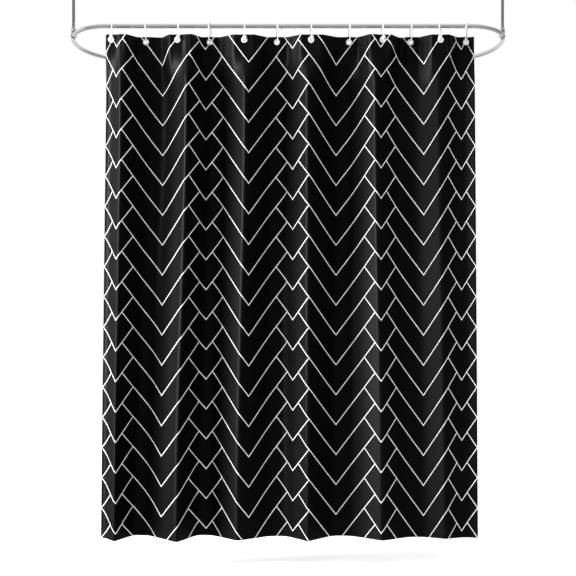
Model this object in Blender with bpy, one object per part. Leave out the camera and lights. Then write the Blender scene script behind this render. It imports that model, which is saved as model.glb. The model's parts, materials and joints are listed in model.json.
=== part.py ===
"""Shower curtain hung by twelve snap hooks from an oval hoop rail on two ceiling rods.

The rail is a hollow hoop in two halves, joined by inner ferrules, and carried by two rods
that run from tee saddles on the hoop up to flanges on the ceiling.  +Z is up, +X runs along
the hoop to the right, and +Y points into the hoop, away from the person outside the tub.
The origin is midway between the two flanges, on the ceiling.
"""
import math

import bmesh
import bpy
from mathutils import Matrix, Vector

# ---- Driving dimensions, in metres ------------------------------------------------------

FIT_GAP = 0.0003            # clearance between pieces that touch
CUT_OVERRUN = 0.002         # how far a cutter runs past the face it opens
EDGE_SHARE = 1 / 3          # each chamfer, as a share of the wall it breaks

# Hoop rail
STRAIGHT_LENGTH = 1.32      # each long straight of the hoop
END_RISE = 0.165            # how far each rounded end reaches past the straight
HOOP_DEPTH = 0.70           # front straight to back straight, axis to axis
HOOP_FRONT = 0.19           # front straight ahead of the rods
RAIL_DROP = 0.30            # hoop axis below the ceiling
TUBE_DIAMETER = 0.016
TUBE_WALL = 0.0012
TUBE_SIDES = 12
END_STEPS = 20              # facets along each rounded end

# Ferrules inside the two hoop joints, and their screws
FERRULE_LENGTH = 0.080
FERRULE_WALL = 0.0016
JOINT_SCREW_OFFSET = 0.024  # each screw's distance from its joint
JOINT_SCREW_DIAMETER = 0.003
JOINT_SCREW_HEAD = 0.0056
JOINT_SCREW_HEAD_HEIGHT = 0.0016
JOINT_SCREW_REACH = 0.001   # from the ferrule's bore to the screw's tip
PAN_DOME_HEIGHT = 0.4       # the part of a pan head's height that is domed
PAN_FLAT_WIDTH = 0.7        # the flat on top of a pan head, as a share of its width

# Support rods, tee saddles and ceiling flanges
ROD_DIAMETER = 0.012
ROD_WALL = 0.0010
SADDLE_LENGTH = 0.028       # collar length along the hoop
SADDLE_WALL = 0.0022
SADDLE_CLEARANCE = 0.0010   # collar bore to tube, which curves inside it
SADDLE_SOCKET_DEPTH = 0.018
SADDLE_SOCKET_WALL = 0.0024
SADDLE_FLOOR = 0.003        # metal between the rod's foot and the tube
SET_SCREW_DIAMETER = 0.004
SET_SCREW_HEAD = 0.0064
SET_SCREW_HEAD_HEIGHT = 0.0022
SET_HOLE_BREAK = 0.0005     # how far a set screw's hole breaks into the bore
FLANGE_DIAMETER = 0.056
FLANGE_THICKNESS = 0.004
FLANGE_BOSS_WALL = 0.004
FLANGE_BOSS_HEIGHT = 0.018  # below the flange plate
FLANGE_CEILING_WEB = 0.0015  # closed top of the flange's socket
FLANGE_SCREW_COUNT = 3
FLANGE_SCREW_CIRCLE = 0.040
WOOD_SCREW_DIAMETER = 0.0040
WOOD_SCREW_HEAD = 0.0078
WOOD_SCREW_HEAD_HEIGHT = 0.0020
ROUND_SIDES = 18
SCREW_SIDES = 8

# Curtain
CURTAIN_DROP = 1.818        # hung height
TOP_BELOW_RAIL = 0.035      # top edge below the hoop's axis
CLOTH_THICKNESS = 0.0010
HEADER_HEIGHT = 0.044       # reinforcing band sewn behind the top edge
HEADER_THICKNESS = 0.0008
HEADER_END_INSET = 0.006    # the band stops short of the side edges
HEADER_TOP_INSET = 0.002
HOOK_END_CLEARANCE = 0.018  # end hooks stay this far inside the straight
SIDE_MARGIN = 0.024         # hung distance from an end hook to the side edge
CURTAIN_OFFSET = 0.005      # the curtain hangs this far right of the hoop's middle
HEM_SPREAD = 0.018          # each side hangs this much wider at the hem
HEADER_FOLD = 0.024         # fold depth at the eyelets, each way from the rail
BODY_FOLD = 0.050           # fold depth in the body of the cloth, each way
FOLD_START = 0.050          # height below the top edge where the folds start to deepen
FOLD_FULL = 0.300           # and where they are full
FOLD_STEPS = 6              # facets across the slope between two hooks
EYELET_LAND = 0.0135        # half-width of the flat place around each eyelet
MITRE_LIMIT = 0.5           # keeps a layer's corners from running out in sharp folds

# Places of the hooks along the span from the first to the last
HOOK_PLACES = (0, 0.094, 0.186, 0.275, 0.373, 0.465, 0.561, 0.669, 0.762, 0.843, 0.924, 1)

# Eyelets and hooks
EYELET_BORE = 0.011
EYELET_BARREL_WALL = 0.0012
EYELET_DIAMETER = 0.022
EYELET_FLANGE = 0.0009
EYELET_SLACK = 0.0021       # clearance above the wire, which lies tilted in the bore
EYELET_SIDES = 12
HOOK_WIRE = 0.0042
HOOK_RISE = 0.0006          # running gap between the tube and the hook's crown
HOOK_REACH = 0.013          # half the hook's width, axis to axis
HOOK_DROP = 0.058           # hoop axis to the hook's foot, along the hook
HOOK_FOOT_RADIUS = 0.010
HOOK_BALL = 0.0145
HOOK_BALL_REACH = 0.0150    # ball centre ahead of the hook's middle
HOOK_SNAP_GAP = 0.0016      # from the front leg's tip to the ball
HOOK_SIDES = 8
CROWN_STEPS = 8
FOOT_STEPS = 3
BALL_STEPS = 4

# ---- Sizes that follow ------------------------------------------------------------------

RAIL_Z = -RAIL_DROP
FRONT_Y = -HOOP_FRONT
BACK_Y = HOOP_DEPTH - HOOP_FRONT
HOOP_MIDDLE_Y = (FRONT_Y + BACK_Y) / 2
TUBE_RADIUS = TUBE_DIAMETER / 2
TUBE_BORE_RADIUS = TUBE_RADIUS - TUBE_WALL
ROD_RADIUS = ROD_DIAMETER / 2
HOOK_LEAN = math.asin(HEADER_FOLD / HOOK_DROP)
HOOK_SPAN = STRAIGHT_LENGTH - 2 * HOOK_END_CLEARANCE
HOOK_START = CURTAIN_OFFSET - HOOK_SPAN / 2
HOOK_COUNT = len(HOOK_PLACES)
TOP_Z = RAIL_Z - TOP_BELOW_RAIL
HEADER_BACK = CLOTH_THICKNESS + FIT_GAP + HEADER_THICKNESS
HOOK_FOOT_Z = RAIL_Z - HOOK_DROP * math.cos(HOOK_LEAN)
EYELET_Z = HOOK_FOOT_Z - (EYELET_BORE - HOOK_WIRE) / 2 + EYELET_SLACK
EYELET_HOLE_RADIUS = EYELET_BORE / 2 + EYELET_BARREL_WALL + 2 * FIT_GAP
PUNCH_REACH = 2 * HEADER_BACK

# Finishes: colour, roughness and metallic
CHROME = ((0.80, 0.81, 0.83), 0.08, 1.0)
STEEL = ((0.55, 0.56, 0.58), 0.3, 1.0)
HOOK_PLASTIC = ((0.90, 0.90, 0.90), 0.3, 0.0)
EYELET_PLASTIC = ((0.90, 0.90, 0.90), 0.35, 0.0)
PRINTED_CLOTH = ((0.012, 0.012, 0.013), 0.55, 0.0)
HEADER_TAPE = ((0.012, 0.012, 0.013), 0.7, 0.0)
SWEPT_SMOOTH_ANGLE = math.radians(40)
TURNED_SMOOTH_ANGLE = math.radians(35)


# ---- Helpers ----------------------------------------------------------------------------

def clear_scene():
    for item in list(bpy.data.objects):
        bpy.data.objects.remove(item, do_unlink=True)


def finish_material(name, colour, roughness, metallic=0.0):
    material = bpy.data.materials.new(name)
    material.use_nodes = True
    shader = material.node_tree.nodes["Principled BSDF"]
    shader.inputs["Base Color"].default_value = (*colour, 1.0)
    shader.inputs["Roughness"].default_value = roughness
    shader.inputs["Metallic"].default_value = metallic
    return material


def new_object(name, mesh, parent=None, finish=None):
    part = bpy.data.objects.new(name, mesh)
    bpy.context.collection.objects.link(part)
    part.parent = parent
    if finish:
        colour, roughness, metallic = finish
        mesh.materials.append(finish_material(name + "_finish", colour, roughness, metallic))
    return part


def mesh_from_bmesh(name, shape, smooth_angle=None):
    bmesh.ops.recalc_face_normals(shape, faces=shape.faces)
    mesh = bpy.data.meshes.new(name)
    shape.to_mesh(mesh)
    shape.free()
    if smooth_angle:
        mesh.shade_smooth()
        mesh.set_sharp_from_angle(angle=smooth_angle)
    return mesh


def bridge_loops(shape, first, second):
    """Quads between two closed loops of vertices with the same count."""
    count = len(first)
    for i in range(count):
        j = (i + 1) % count
        shape.faces.new((first[i], first[j], second[j], second[i]))


def ring(shape, centre, across, upward, radius, sides):
    """A loop of vertices round a centre, in the plane of two directions."""
    loop = []
    for i in range(sides):
        angle = 2 * math.pi * (i + 0.5) / sides
        direction = math.cos(angle) * across + math.sin(angle) * upward
        loop.append(shape.verts.new(centre + radius * direction))
    return loop


def planar_sweep(name, path, radii, side, sides, hollow_radius=None):
    """A tube along a path that lies in the plane whose normal is side."""
    shape = bmesh.new()
    outer, inner = [], []
    for i, point in enumerate(path):
        ahead = path[min(i + 1, len(path) - 1)] - path[max(i - 1, 0)]
        across = side.cross(ahead.normalized())
        outer.append(ring(shape, point, across, side, radii[i], sides))
        if hollow_radius:
            inner.append(ring(shape, point, across, side, hollow_radius, sides))
    for loops in filter(None, (outer, inner)):
        for first, second in zip(loops, loops[1:]):
            bridge_loops(shape, first, second)
    if hollow_radius:
        bridge_loops(shape, outer[0], inner[0])
        bridge_loops(shape, outer[-1], inner[-1])
    else:
        shape.faces.new(outer[0])
        shape.faces.new(outer[-1])
    return mesh_from_bmesh(name, shape, SWEPT_SMOOTH_ANGLE)


def turned(name, profile, sides=ROUND_SIDES):
    """A solid of revolution about Z from a closed outline of (radius, height) points."""
    shape = bmesh.new()
    loops = []
    for radius, height in profile:
        centre = Vector((0, 0, height))
        if radius > 0:
            loops.append(ring(shape, centre, Vector((1, 0, 0)), Vector((0, 1, 0)), radius, sides))
        else:
            loops.append([shape.verts.new(centre)])
    for i, first in enumerate(loops):
        second = loops[(i + 1) % len(loops)]
        if len(first) > 1 and len(second) > 1:
            bridge_loops(shape, first, second)
        elif len(first) != len(second):
            point, loop = (first[0], second) if len(first) == 1 else (second[0], first)
            for k in range(sides):
                shape.faces.new((point, loop[k], loop[(k + 1) % sides]))
    return mesh_from_bmesh(name, shape, TURNED_SMOOTH_ANGLE)


def cut(part, cutter_mesh, matrix, name):
    """Take a closed cutter out of a part."""
    cutter = new_object(name, cutter_mesh)
    cutter.matrix_world = matrix
    cutter.hide_render = True
    cutter.display_type = "WIRE"
    step = part.modifiers.new(name, "BOOLEAN")
    step.operation = "DIFFERENCE"
    step.solver = "EXACT"
    step.object = cutter


def plain_cylinder(name, radius, low, high, sides=ROUND_SIDES):
    return turned(name, ((0, high), (radius, high), (radius, low), (0, low)), sides)


def turn_axis_to(direction):
    """The turn that takes +Z to a direction."""
    return Vector(direction).to_track_quat("Z", "Y").to_matrix().to_4x4()


# ---- Hoop rail --------------------------------------------------------------------------

def hoop_end_point(angle, side):
    """A point on a rounded end; the angle runs from -90 at the front to +90 at the back."""
    x = side * (STRAIGHT_LENGTH / 2 + END_RISE * math.cos(angle))
    y = HOOP_MIDDLE_Y + HOOP_DEPTH / 2 * math.sin(angle)
    return Vector((x, y, RAIL_Z))


def hoop_half_path(side):
    """From the front joint round one end to the back joint."""
    path = [Vector((side * FIT_GAP / 2, FRONT_Y, RAIL_Z))]
    path += [hoop_end_point(math.pi * (i / END_STEPS - 0.5), side) for i in range(END_STEPS + 1)]
    path.append(Vector((side * FIT_GAP / 2, BACK_Y, RAIL_Z)))
    return path


def make_hoop(root):
    """Two tube halves and, inside each joint between them, a ferrule held by two screws."""
    halves = []
    for end, side in (("left", -1), ("right", 1)):
        path = hoop_half_path(side)
        mesh = planar_sweep("hoop_" + end, path, [TUBE_RADIUS] * len(path), Vector((0, 0, 1)),
                            TUBE_SIDES, TUBE_BORE_RADIUS)
        tube = new_object("hoop_tube_" + end, mesh, root, CHROME)
        halves.append((end, side, tube))
    outer = TUBE_BORE_RADIUS - FIT_GAP
    for joint, y in (("front", FRONT_Y), ("back", BACK_Y)):
        ends = [Vector((side * FERRULE_LENGTH / 2, y, RAIL_Z)) for side in (-1, 1)]
        mesh = planar_sweep("ferrule_" + joint, ends, [outer] * 2, Vector((0, 0, 1)),
                            TUBE_SIDES, outer - FERRULE_WALL)
        ferrule = new_object("hoop_ferrule_" + joint, mesh, root, STEEL)
        for end, side, tube in halves:
            centre = Vector((side * JOINT_SCREW_OFFSET, y, RAIL_Z))
            make_joint_screw(root, f"{joint}_{end}", centre, tube, ferrule)


def make_joint_screw(root, place, centre, tube, ferrule):
    """A pan-head screw through the tube's underside into the ferrule, and its holes."""
    head_top = TUBE_RADIUS + FIT_GAP
    shank = JOINT_SCREW_DIAMETER / 2
    tip = TUBE_BORE_RADIUS - FIT_GAP - FERRULE_WALL - JOINT_SCREW_REACH
    head = JOINT_SCREW_HEAD / 2
    crown = head_top + JOINT_SCREW_HEAD_HEIGHT
    dome = crown - PAN_DOME_HEIGHT * JOINT_SCREW_HEAD_HEIGHT
    profile = ((0, tip), (shank, tip), (shank, head_top), (head, head_top),
               (head, dome), (PAN_FLAT_WIDTH * head, crown), (0, crown))
    screw = new_object("hoop_screw_" + place, turned("hoop_screw", profile, SCREW_SIDES), root, STEEL)
    downward = Matrix.Translation(centre) @ turn_axis_to((0, 0, -1))
    screw.matrix_world = downward
    hole = shank + FIT_GAP
    for part, label in ((tube, "tube"), (ferrule, "ferrule")):
        drill = plain_cylinder("drill", hole, tip - JOINT_SCREW_REACH, head_top + CUT_OVERRUN, SCREW_SIDES)
        cut(part, drill, downward, f"drill_{label}_{place}")


# ---- Supports ---------------------------------------------------------------------------

def rod_angle():
    """Where on the rounded end the rods' line crosses it."""
    return math.asin(-HOOP_MIDDLE_Y / (HOOP_DEPTH / 2))


def rod_x(side):
    return hoop_end_point(rod_angle(), side).x


def hoop_direction(side):
    """The way the hoop runs at a rod."""
    angle = rod_angle()
    return Vector((-side * END_RISE * math.sin(angle), HOOP_DEPTH / 2 * math.cos(angle), 0)).normalized()


SADDLE_BORE = TUBE_RADIUS + SADDLE_CLEARANCE
SADDLE_OUTER = SADDLE_BORE + SADDLE_WALL
ROD_FOOT = SADDLE_BORE + SADDLE_FLOOR            # above the hoop's axis
SOCKET_RADIUS = ROD_RADIUS + FIT_GAP
SOCKET_TOP = ROD_FOOT + SADDLE_SOCKET_DEPTH
ROD_TOP_Z = -FLANGE_CEILING_WEB - FIT_GAP


def make_saddle(root, end, side):
    """A tee: a collar round the hoop with a socket for the rod on top."""
    centre = Vector((rod_x(side), 0, RAIL_Z))
    along = Matrix.Translation(centre) @ turn_axis_to(hoop_direction(side))
    upright = Matrix.Translation(centre)
    half = SADDLE_LENGTH / 2
    chamfer = SADDLE_WALL * EDGE_SHARE
    collar_outline = ((0, half), (SADDLE_OUTER - chamfer, half), (SADDLE_OUTER, half - chamfer),
                      (SADDLE_OUTER, chamfer - half), (SADDLE_OUTER - chamfer, -half), (0, -half))
    collar = new_object("saddle_" + end, turned("saddle", collar_outline), root, CHROME)
    collar.matrix_world = along
    socket_outer = SOCKET_RADIUS + SADDLE_SOCKET_WALL
    neck_outline = ((0, SOCKET_TOP), (socket_outer - chamfer, SOCKET_TOP),
                    (socket_outer, SOCKET_TOP - chamfer), (socket_outer, 0), (0, 0))
    neck = new_object("saddle_neck_" + end, turned("saddle_neck", neck_outline))
    neck.matrix_world = upright
    neck.hide_render = True
    neck.display_type = "WIRE"
    weld = collar.modifiers.new("neck", "BOOLEAN")
    weld.operation = "UNION"
    weld.object = neck
    bore = plain_cylinder("saddle_bore", SADDLE_BORE, -half - CUT_OVERRUN, half + CUT_OVERRUN)
    cut(collar, bore, along, "saddle_bore_" + end)
    socket = plain_cylinder("socket", SOCKET_RADIUS, ROD_FOOT, SOCKET_TOP + CUT_OVERRUN)
    cut(collar, socket, upright, "saddle_socket_" + end)
    grip = Vector((0, -1, 0))
    rod_screw_z = (SADDLE_OUTER + SOCKET_TOP) / 2
    make_set_screw(root, collar, f"rod_set_screw_{end}", centre + Vector((0, 0, rod_screw_z)),
                   grip, ROD_RADIUS, socket_outer)
    make_set_screw(root, collar, f"hoop_set_screw_{end}", centre, Vector((0, 0, -1)),
                   TUBE_RADIUS, SADDLE_OUTER)


def make_set_screw(root, host, name, centre, direction, inner, outer):
    """A headed set screw from just outside the inner radius out past the outer one."""
    tip = inner + FIT_GAP
    seat = outer + FIT_GAP
    shank = SET_SCREW_DIAMETER / 2
    head = SET_SCREW_HEAD / 2
    top = seat + SET_SCREW_HEAD_HEIGHT
    profile = ((0, tip), (shank, tip), (shank, seat), (head, seat), (head, top - FIT_GAP),
               (head - FIT_GAP, top), (0, top))
    screw = new_object(name, turned("set_screw", profile, SCREW_SIDES), root, STEEL)
    place = Matrix.Translation(centre) @ turn_axis_to(direction)
    screw.matrix_world = place
    drill = plain_cylinder("drill", shank + FIT_GAP, inner - SET_HOLE_BREAK, seat + CUT_OVERRUN, SCREW_SIDES)
    cut(host, drill, place, "drill_" + name)


def make_rod(root, end, side):
    low = RAIL_Z + ROD_FOOT + FIT_GAP
    inner = ROD_RADIUS - ROD_WALL
    outline = ((inner, ROD_TOP_Z), (ROD_RADIUS, ROD_TOP_Z), (ROD_RADIUS, low), (inner, low))
    rod = new_object("support_rod_" + end, turned("rod", outline), root, CHROME)
    rod.location = (rod_x(side), 0, 0)


def make_flange(root, end, side):
    """A ceiling plate with a boss that takes the rod, and countersunk holes."""
    radius = FLANGE_DIAMETER / 2
    boss = SOCKET_RADIUS + FLANGE_BOSS_WALL
    foot = -FLANGE_THICKNESS - FLANGE_BOSS_HEIGHT
    chamfer = FLANGE_THICKNESS * EDGE_SHARE
    outline = ((0, 0), (radius, 0), (radius, chamfer - FLANGE_THICKNESS),
               (radius - chamfer, -FLANGE_THICKNESS), (boss, -FLANGE_THICKNESS),
               (boss, foot + chamfer), (boss - chamfer, foot), (SOCKET_RADIUS, foot),
               (SOCKET_RADIUS, -FLANGE_CEILING_WEB), (0, -FLANGE_CEILING_WEB))
    flange = new_object("ceiling_flange_" + end, turned("flange", outline), root, CHROME)
    flange.location = (rod_x(side), 0, 0)
    centre = Vector((rod_x(side), 0, -FLANGE_THICKNESS - FLANGE_BOSS_HEIGHT / 2))
    make_set_screw(root, flange, f"flange_set_screw_{end}", centre, Vector((0, -1, 0)), ROD_RADIUS, boss)
    for i in range(FLANGE_SCREW_COUNT):
        angle = 2 * math.pi * i / FLANGE_SCREW_COUNT + math.pi / 2
        spot = Vector((rod_x(side) + FLANGE_SCREW_CIRCLE / 2 * math.cos(angle),
                       FLANGE_SCREW_CIRCLE / 2 * math.sin(angle), 0))
        make_wood_screw(root, flange, f"{end}_{i + 1}", spot)


def make_wood_screw(root, flange, place, spot):
    """A countersunk screw, flush with the plate's lower face, cut off at the ceiling."""
    head = WOOD_SCREW_HEAD / 2
    shank = WOOD_SCREW_DIAMETER / 2
    sink = FLANGE_THICKNESS - WOOD_SCREW_HEAD_HEIGHT
    top = FLANGE_THICKNESS - FIT_GAP
    outline = ((0, FIT_GAP), (shank, FIT_GAP), (shank, sink), (head, top), (0, top))
    screw = new_object("ceiling_screw_" + place, turned("wood_screw", outline, SCREW_SIDES), root, STEEL)
    downward = Matrix.Translation(spot) @ turn_axis_to((0, 0, -1))
    screw.matrix_world = downward
    wide = head + FIT_GAP
    narrow = shank + FIT_GAP
    hole = ((0, -CUT_OVERRUN), (narrow, -CUT_OVERRUN), (narrow, sink - FIT_GAP), (wide, top - FIT_GAP),
            (wide, top + CUT_OVERRUN), (0, top + CUT_OVERRUN))
    cut(flange, turned("sink", hole, SCREW_SIDES), downward, "countersink_" + place)


# ---- Curtain ----------------------------------------------------------------------------

def hook_x(i):
    return HOOK_START + HOOK_PLACES[i] * HOOK_SPAN


def fold_side(i):
    """Odd-numbered hooks hang towards the front, even-numbered towards the back."""
    return -1 if i % 2 == 0 else 1


def fold_stations():
    """The side edges and the flats round the eyelets: (x, side) pairs from left to right."""
    stations = [(hook_x(0) - SIDE_MARGIN, fold_side(0))]
    for i in range(HOOK_COUNT):
        land = EYELET_LAND
        stations += [(hook_x(i) - land, fold_side(i)), (hook_x(i) + land, fold_side(i))]
    stations.append((hook_x(HOOK_COUNT - 1) + SIDE_MARGIN, fold_side(HOOK_COUNT - 1)))
    return stations


def section(fold, end_inset=0.0):
    """The cloth's middle line at one height: (x, y) points from left to right."""
    stations = fold_stations()
    stations[0] = (stations[0][0] + end_inset, stations[0][1])
    stations[-1] = (stations[-1][0] - end_inset, stations[-1][1])
    points = []
    for (x0, side0), (x1, side1) in zip(stations, stations[1:]):
        steps = 1 if side0 == side1 else FOLD_STEPS
        for k in range(steps):
            share = k / steps
            turn = (1 - math.cos(math.pi * share)) / 2
            points.append((x0 + share * (x1 - x0), FRONT_Y + fold * (side0 + (side1 - side0) * turn)))
    points.append((stations[-1][0], FRONT_Y + fold * stations[-1][1]))
    return points


def fold_depth(below_top):
    share = min(max((below_top - FOLD_START) / (FOLD_FULL - FOLD_START), 0), 1)
    return HEADER_FOLD + (BODY_FOLD - HEADER_FOLD) * share


def offset_line(points, offset):
    """The line moved sideways by an offset towards +Y, mitred at each point."""
    moved = []
    for i, (x, y) in enumerate(points):
        before = Vector(points[max(i - 1, 0)])
        after = Vector(points[min(i + 1, len(points) - 1)])
        here = Vector((x, y))
        first = (here - before).normalized() if i else (after - here).normalized()
        second = (after - here).normalized() if i < len(points) - 1 else first
        normal = Vector((-(first + second).y, (first + second).x)).normalized()
        reach = offset / max(normal.dot(Vector((-first.y, first.x))), MITRE_LIMIT)
        moved.append((x + reach * normal.x, y + reach * normal.y))
    return moved


def pleated_layer(name, heights, front, back, end_inset=0.0):
    """A pleated sheet between two offsets from the section, through a list of heights."""
    shape = bmesh.new()
    grids = []
    half_width = HOOK_SPAN / 2 + SIDE_MARGIN
    for offset in (front, back):
        rows = []
        for below in heights:
            spread = 1 + HEM_SPREAD / half_width * max(below - FOLD_START, 0) / (CURTAIN_DROP - FOLD_START)
            line = offset_line(section(fold_depth(below), end_inset), offset)
            spread_line = [(CURTAIN_OFFSET + (x - CURTAIN_OFFSET) * spread, y) for x, y in line]
            rows.append([shape.verts.new((x, y, TOP_Z - below)) for x, y in spread_line])
        grids.append(rows)
    near, far = grids
    for rows in grids:
        for upper, lower in zip(rows, rows[1:]):
            for i in range(len(upper) - 1):
                shape.faces.new((upper[i], upper[i + 1], lower[i + 1], lower[i]))
    for row in (0, -1):
        for i in range(len(near[row]) - 1):
            shape.faces.new((near[row][i], near[row][i + 1], far[row][i + 1], far[row][i]))
    for column in (0, -1):
        for i in range(len(heights) - 1):
            shape.faces.new((near[i][column], near[i + 1][column], far[i + 1][column], far[i][column]))
    return mesh_from_bmesh(name, shape)


def make_cloth(swing):
    """The printed sheet and its header band, made in place and held by the swing axis."""
    body_heights = (0, FOLD_START, FOLD_FULL, (FOLD_FULL + CURTAIN_DROP) / 2, CURTAIN_DROP)
    sheet_mesh = pleated_layer("sheet", body_heights, -CLOTH_THICKNESS / 2, CLOTH_THICKNESS / 2)
    sheet = new_object("curtain_sheet", sheet_mesh, swing, PRINTED_CLOTH)
    front = CLOTH_THICKNESS / 2 + FIT_GAP
    band_heights = (HEADER_TOP_INSET, HEADER_HEIGHT)
    band_mesh = pleated_layer("band", band_heights, front, front + HEADER_THICKNESS, HEADER_END_INSET)
    band = new_object("header_band", band_mesh, swing, HEADER_TAPE)
    for layer in (sheet, band):
        layer.matrix_world = Matrix.Identity(4)
    for i in range(HOOK_COUNT):
        place = Matrix.Translation(eyelet_centre(i)) @ turn_axis_to((0, 1, 0))
        for part, label in ((sheet, "sheet"), (band, "band")):
            punch = plain_cylinder("punch", EYELET_HOLE_RADIUS, -PUNCH_REACH, PUNCH_REACH, EYELET_SIDES)
            cut(part, punch, place, f"punch_{label}_{i + 1:02d}")


# ---- Eyelets and hooks ------------------------------------------------------------------

def eyelet_centre(i):
    """On the middle of the two cloth layers."""
    layers = HEADER_BACK / 2 - CLOTH_THICKNESS / 2
    return Vector((hook_x(i), FRONT_Y + fold_side(i) * HEADER_FOLD + layers, EYELET_Z))


def make_eyelet(holder, i):
    inner = EYELET_BORE / 2
    barrel = inner + EYELET_BARREL_WALL
    outer = EYELET_DIAMETER / 2
    slot = HEADER_BACK / 2 + FIT_GAP
    face = slot + EYELET_FLANGE
    outline = ((inner, face), (outer, face), (outer, slot), (barrel, slot),
               (barrel, -slot), (outer, -slot), (outer, -face), (inner, -face))
    name = f"eyelet_{i + 1:02d}"
    eyelet = new_object(name, turned(name, outline, EYELET_SIDES), holder, EYELET_PLASTIC)
    eyelet.matrix_world = Matrix.Translation(eyelet_centre(i)) @ turn_axis_to((0, 1, 0))


def arc(centre, radius, start, stop, steps):
    """Points round an arc in the hook's plane; angles from +Y towards +Z, in degrees."""
    points = []
    for k in range(steps + 1):
        angle = math.radians(start + (stop - start) * k / steps)
        points.append(centre + radius * Vector((0, math.cos(angle), math.sin(angle))))
    return points


def hook_path():
    """From the snap tip up the front leg, over the rail, down the back and forward to the ball."""
    wire = HOOK_WIRE / 2
    crown_z = TUBE_RADIUS + HOOK_RISE + wire - HOOK_REACH
    ball = Vector((0, -HOOK_BALL_REACH, -HOOK_DROP))
    tip = Vector((0, -HOOK_REACH, ball.z + HOOK_BALL / 2 + HOOK_SNAP_GAP))
    foot = Vector((0, HOOK_REACH - HOOK_FOOT_RADIUS, -HOOK_DROP + HOOK_FOOT_RADIUS))
    path = [tip]
    path += arc(Vector((0, 0, crown_z)), HOOK_REACH, 180, 0, CROWN_STEPS)
    path += arc(foot, HOOK_FOOT_RADIUS, 0, -90, FOOT_STEPS)
    radii = [wire] * len(path)
    ball_radius = HOOK_BALL / 2
    neck = math.degrees(math.asin(wire / ball_radius))
    for k in range(BALL_STEPS + 1):
        angle = math.radians(neck + (180 - 2 * neck) * k / BALL_STEPS)
        path.append(ball + Vector((0, ball_radius * math.cos(angle), 0)))
        radii.append(ball_radius * math.sin(angle))
    return path, radii


def make_hook(holder, i):
    """A hook whose origin is on the rail's axis, leaning to where its eyelet hangs."""
    path, radii = hook_path()
    name = f"hook_{i + 1:02d}"
    mesh = planar_sweep(name, path, radii, Vector((1, 0, 0)), HOOK_SIDES)
    hook = new_object(name, mesh, holder, HOOK_PLASTIC)
    lean = Matrix.Rotation(fold_side(i) * HOOK_LEAN, 4, "X")
    hook.matrix_world = Matrix.Translation((hook_x(i), FRONT_Y, RAIL_Z)) @ lean


# ---- Assembly ---------------------------------------------------------------------------

def empty_at(name, place, parent=None):
    """A pivot; its children are placed in world coordinates, so it is settled first."""
    holder = bpy.data.objects.new(name, None)
    bpy.context.collection.objects.link(holder)
    holder.parent = parent
    holder.matrix_world = Matrix.Translation(place)
    bpy.context.view_layer.update()
    return holder


def make_hangers(swing):
    """The first hook stays with the curtain's fixed edge, and the others slide along the rail."""
    for i in range(HOOK_COUNT):
        holder = swing
        if i > 0:
            holder = empty_at(f"hanger_{i + 1:02d}_slide_line", (hook_x(i), FRONT_Y, RAIL_Z), swing)
        make_hook(holder, i)
        make_eyelet(holder, i)


def main():
    clear_scene()
    root = empty_at("rail_frame", (0, 0, 0))
    make_hoop(root)
    for end, side in (("left", -1), ("right", 1)):
        make_saddle(root, end, side)
        make_rod(root, end, side)
        make_flange(root, end, side)
    swing = empty_at("curtain_swing_axis", (0, FRONT_Y, RAIL_Z))
    make_cloth(swing)
    make_hangers(swing)
    bpy.context.view_layer.update()


main()
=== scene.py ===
"""Looks for a herringbone shower curtain on a chrome hoop rail."""
import json
import math

import bmesh
import bpy
import numpy as np
from mathutils import Matrix, Vector

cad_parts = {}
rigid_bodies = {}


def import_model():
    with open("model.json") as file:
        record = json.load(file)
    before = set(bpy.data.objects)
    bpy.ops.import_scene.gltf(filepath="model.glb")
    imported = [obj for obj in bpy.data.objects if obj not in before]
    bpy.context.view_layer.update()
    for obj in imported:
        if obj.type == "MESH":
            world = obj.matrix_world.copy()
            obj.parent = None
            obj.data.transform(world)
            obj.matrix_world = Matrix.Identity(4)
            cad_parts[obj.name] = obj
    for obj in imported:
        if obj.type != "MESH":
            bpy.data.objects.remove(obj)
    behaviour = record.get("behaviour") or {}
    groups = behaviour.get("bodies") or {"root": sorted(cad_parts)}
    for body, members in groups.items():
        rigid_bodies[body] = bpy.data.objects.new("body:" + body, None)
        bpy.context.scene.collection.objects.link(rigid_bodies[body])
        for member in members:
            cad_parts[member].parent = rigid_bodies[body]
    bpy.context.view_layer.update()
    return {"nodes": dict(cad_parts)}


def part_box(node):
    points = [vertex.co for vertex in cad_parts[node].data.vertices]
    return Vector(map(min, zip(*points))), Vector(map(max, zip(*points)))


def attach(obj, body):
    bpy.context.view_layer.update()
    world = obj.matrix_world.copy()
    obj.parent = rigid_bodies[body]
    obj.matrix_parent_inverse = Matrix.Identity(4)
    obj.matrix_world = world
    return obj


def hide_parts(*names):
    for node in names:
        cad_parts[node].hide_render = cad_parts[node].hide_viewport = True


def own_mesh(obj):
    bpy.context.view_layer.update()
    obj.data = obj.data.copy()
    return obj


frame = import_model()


# ---- Places taken from the frame ----------------------------------------------------------

def box_middle(node):
    low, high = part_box(node)
    return (Vector(low) + Vector(high)) / 2


HOOP_LOW, HOOP_HIGH = (Vector(corner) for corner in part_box("hoop_tube_left"))
TUBE_FACET = (HOOP_HIGH.z - HOOP_LOW.z) / 2      # half the height of the faceted tube
RAIL_Z = (HOOP_LOW.z + HOOP_HIGH.z) / 2
FRONT_Y = HOOP_LOW.y + TUBE_FACET
BACK_Y = HOOP_HIGH.y - TUBE_FACET
HOOP_HALF_LENGTH = -HOOP_LOW.x - TUBE_FACET
STRAIGHT_HALF = 0.66                             # half of each long straight
TUBE_RADIUS = 0.008
TUBE_WALL = 0.0012

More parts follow.
